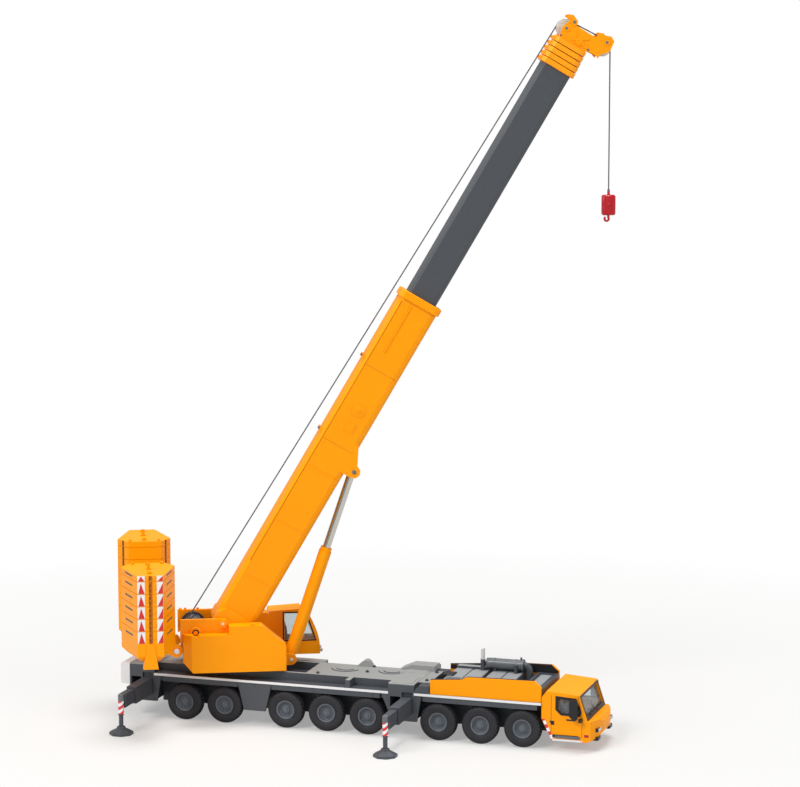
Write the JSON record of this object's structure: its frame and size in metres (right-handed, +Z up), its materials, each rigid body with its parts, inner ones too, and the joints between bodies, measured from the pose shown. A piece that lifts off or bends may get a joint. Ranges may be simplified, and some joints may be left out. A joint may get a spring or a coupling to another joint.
{
  "type": "eight-axle telescopic mobile crane scale model",
  "caption": "Scale model of a mobile crane: yellow-orange carrier and cab, boom raised over the front quarter, outriggers out, block counterweights and a red hook",
  "frame": {"origin": "middle of the whole model's box, on the floor under it", "axes": "+X along the carrier from its tail to the driver's cab, +Y to the carrier's left, +Z up"},
  "size_m": [0.2268, 0.1288, 0.3123],
  "materials": {
    "body_orange": "satin",
    "boom_grey": "satin",
    "dark_grey": "satin",
    "deck_grey": "matte",
    "grey_plastic": "matte",
    "silver": "satin",
    "white": "gloss",
    "tyre_black": "matte",
    "rim_grey": "satin",
    "window": "clear",
    "rope_grey": "matte",
    "hook_red": "gloss"
  },
  "bodies": {
    "carrier": {"chassis_frame": "dark_grey", "carrier_deck": "deck_grey", "side_rails": "silver", "tail_panel": "white", "hood_panels": "body_orange", "engine_deck": "dark_grey", "exhaust_stack": "silver", "cab_shell": "body_orange", "cab_glazing": "window", "cab_interior": "grey_plastic", "cab_trim": "grey_plastic"},
    "wheels_1": {"tyres_1": "tyre_black", "wheelset_1": "rim_grey"},
    "wheels_2": {"tyres_2": "tyre_black", "wheelset_2": "rim_grey"},
    "wheels_3": {"tyres_3": "tyre_black", "wheelset_3": "rim_grey"},
    "wheels_4": {"tyres_4": "tyre_black", "wheelset_4": "rim_grey"},
    "wheels_5": {"tyres_5": "tyre_black", "wheelset_5": "rim_grey"},
    "wheels_6": {"tyres_6": "tyre_black", "wheelset_6": "rim_grey"},
    "wheels_7": {"tyres_7": "tyre_black", "wheelset_7": "rim_grey"},
    "wheels_8": {"tyres_8": "tyre_black", "wheelset_8": "rim_grey"},
    "outer_beam_rear_right": {"outer_beam_rear_right": "deck_grey"},
    "inner_beam_rear_right": {"inner_beam_rear_right": "deck_grey"},
    "leg_rear_right": {"leg_rear_right": "dark_grey"},
    "outer_beam_rear_left": {"outer_beam_rear_left": "deck_grey"},
    "inner_beam_rear_left": {"inner_beam_rear_left": "deck_grey"},
    "leg_rear_left": {"leg_rear_left": "dark_grey"},
    "outer_beam_front_right": {"outer_beam_front_right": "deck_grey"},
    "inner_beam_front_right": {"inner_beam_front_right": "deck_grey"},
    "leg_front_right": {"leg_front_right": "dark_grey"},
    "outer_beam_front_left": {"outer_beam_front_left": "deck_grey"},
    "inner_beam_front_left": {"inner_beam_front_left": "deck_grey"},
    "leg_front_left": {"leg_front_left": "dark_grey"},
    "superstructure": {"turntable_frame": "body_orange", "counterweight_frame": "body_orange", "counterweight_slabs": "body_orange", "operator_cab": "body_orange", "operator_glazing": "window", "operator_seat": "grey_plastic"},
    "winch": {"winch_drum": "boom_grey"},
    "boom": {"boom_base": "body_orange", "hoist_rope": "rope_grey"},
    "tele_1": {"tele_section_1": "boom_grey"},
    "tele_2": {"tele_section_2": "boom_grey"},
    "tele_3": {"tele_section_3": "boom_grey"},
    "tele_4": {"tele_section_4": "boom_grey"},
    "tele_5": {"tele_section_5": "boom_grey", "boom_head": "body_orange", "head_sheaves": "rim_grey", "head_rope": "rope_grey"},
    "hook_line": {"hook_rope": "rope_grey"},
    "hook": {"hook_block": "hook_red"},
    "cylinder_rod_end": {"cylinder_rod": "silver"},
    "cylinder_barrel_end": {"cylinder_barrel": "body_orange"}
  },
  "joints": [
    {"name": "axle_1", "type": "hinge", "parent": "carrier", "child": "wheels_1", "pos_m": [0.07931, -0.00497, 0.00825], "axis": [0, 1, 0], "continuous": true},
    {"name": "axle_2", "type": "hinge", "parent": "carrier", "child": "wheels_2", "pos_m": [0.06034, -0.00497, 0.00825], "axis": [0, 1, 0], "continuous": true},
    {"name": "axle_3", "type": "hinge", "parent": "carrier", "child": "wheels_3", "pos_m": [0.04137, -0.00497, 0.00825], "axis": [0, 1, 0], "continuous": true},
    {"name": "axle_4", "type": "hinge", "parent": "carrier", "child": "wheels_4", "pos_m": [0.00889, -0.00497, 0.00825], "axis": [0, 1, 0], "continuous": true},
    {"name": "axle_5", "type": "hinge", "parent": "carrier", "child": "wheels_5", "pos_m": [-0.01008, -0.00497, 0.00825], "axis": [0, 1, 0], "continuous": true},
    {"name": "axle_6", "type": "hinge", "parent": "carrier", "child": "wheels_6", "pos_m": [-0.02905, -0.00497, 0.00825], "axis": [0, 1, 0], "continuous": true},
    {"name": "axle_7", "type": "hinge", "parent": "carrier", "child": "wheels_7", "pos_m": [-0.05784, -0.00497, 0.00825], "axis": [0, 1, 0], "continuous": true},
    {"name": "axle_8", "type": "hinge", "parent": "carrier", "child": "wheels_8", "pos_m": [-0.07681, -0.00497, 0.00825], "axis": [0, 1, 0], "continuous": true},
    {"name": "outrigger_rear_right", "type": "slide", "parent": "carrier", "child": "outer_beam_rear_right", "axis": [0, -1, 0], "range_m": [-0.0188, 0]},
    {"name": "extension_rear_right", "type": "slide", "parent": "outer_beam_rear_right", "child": "inner_beam_rear_right", "axis": [0, -1, 0], "range_m": [-0.0104, 0]},
    {"name": "leg_slide_rear_right", "type": "slide", "parent": "inner_beam_rear_right", "child": "leg_rear_right", "axis": [0, 0, 1], "range_m": [0, 0.004]},
    {"name": "outrigger_rear_left", "type": "slide", "parent": "carrier", "child": "outer_beam_rear_left", "axis": [0, 1, 0], "range_m": [-0.0188, 0]},
    {"name": "extension_rear_left", "type": "slide", "parent": "outer_beam_rear_left", "child": "inner_beam_rear_left", "axis": [0, 1, 0], "range_m": [-0.0104, 0]},
    {"name": "leg_slide_rear_left", "type": "slide", "parent": "inner_beam_rear_left", "child": "leg_rear_left", "axis": [0, 0, 1], "range_m": [0, 0.004]},
    {"name": "outrigger_front_right", "type": "slide", "parent": "carrier", "child": "outer_beam_front_right", "axis": [0, -1, 0], "range_m": [-0.0188, 0]},
    {"name": "extension_front_right", "type": "slide", "parent": "outer_beam_front_right", "child": "inner_beam_front_right", "axis": [0, -1, 0], "range_m": [-0.0104, 0]},
    {"name": "leg_slide_front_right", "type": "slide", "parent": "inner_beam_front_right", "child": "leg_front_right", "axis": [0, 0, 1], "range_m": [0, 0.004]},
    {"name": "outrigger_front_left", "type": "slide", "parent": "carrier", "child": "outer_beam_front_left", "axis": [0, 1, 0], "range_m": [-0.0188, 0]},
    {"name": "extension_front_left", "type": "slide", "parent": "outer_beam_front_left", "child": "inner_beam_front_left", "axis": [0, 1, 0], "range_m": [-0.0104, 0]},
    {"name": "leg_slide_front_left", "type": "slide", "parent": "inner_beam_front_left", "child": "leg_front_left", "axis": [0, 0, 1], "range_m": [0, 0.004]},
    {"name": "slew", "type": "hinge", "parent": "carrier", "child": "superstructure", "pos_m": [-0.04381, -0.00497, 0.0204], "axis": [0, 0, 1], "continuous": true},
    {"name": "winch_turn", "type": "hinge", "parent": "superstructure", "child": "winch", "pos_m": [-0.07308, -0.01862, 0.0419], "axis": [0.4226, -0.9063, 0], "continuous": true},
    {"name": "boom_luff", "type": "hinge", "parent": "superstructure", "child": "boom", "pos_m": [-0.06212, -0.01351, 0.0457], "axis": [0.4226, -0.9063, 0], "range_deg": [-59.4, 22.6], "deforming": ["hoist_rope"]},
    {"name": "telescope_1", "type": "slide", "parent": "boom", "child": "tele_1", "axis": [0.4613, 0.2151, 0.8607], "range_m": [-0.1165, 0]},
    {"name": "telescope_2", "type": "slide", "parent": "tele_1", "child": "tele_2", "axis": [0.4613, 0.2151, 0.8607], "range_m": [0, 0.11]},
    {"name": "telescope_3", "type": "slide", "parent": "tele_2", "child": "tele_3", "axis": [0.4613, 0.2151, 0.8607], "range_m": [0, 0.11]},
    {"name": "telescope_4", "type": "slide", "parent": "tele_3", "child": "tele_4", "axis": [0.4613, 0.2151, 0.8607], "range_m": [0, 0.11]},
    {"name": "telescope_5", "type": "slide", "parent": "tele_4", "child": "tele_5", "axis": [0.4613, 0.2151, 0.8607], "range_m": [0, 0.11]},
    {"name": "hook_swing", "type": "hinge", "parent": "tele_5", "child": "hook_line", "pos_m": [0.09207, 0.05839, 0.29781], "axis": [0.4226, -0.9063, 0], "range_deg": [-23, 60]},
    {"name": "hook_hoist", "type": "slide", "parent": "hook_line", "child": "hook", "axis": [0, 0, -1], "range_m": [-0.05, 0.15], "deforming": ["hook_rope"]},
    {"name": "cylinder_swing", "type": "hinge", "parent": "boom", "child": "cylinder_rod_end", "pos_m": [-0.00855, 0.01147, 0.11147], "axis": [0.4226, -0.9063, 0], "range_deg": [-10.8, 4.15]},
    {"name": "cylinder_extend", "type": "slide", "parent": "cylinder_rod_end", "child": "cylinder_barrel_end", "axis": [-0.2902, -0.1353, -0.9474], "range_m": [-0.0334, 0.0128]}
  ],
  "couplings": [
    {"joint": "extension_rear_right", "follows": "outrigger_rear_right", "ratio": 0.55},
    {"joint": "extension_rear_left", "follows": "outrigger_rear_left", "ratio": 0.55},
    {"joint": "extension_front_right", "follows": "outrigger_front_right", "ratio": 0.55},
    {"joint": "extension_front_left", "follows": "outrigger_front_left", "ratio": 0.55},
    {"joint": "hook_swing", "follows": "boom_luff", "ratio": -1},
    {"joint": "cylinder_swing", "follows": "boom_luff", "ratio": 0.18},
    {"joint": "cylinder_extend", "follows": "boom_luff", "m_per_rad": 0.032}
  ]
}
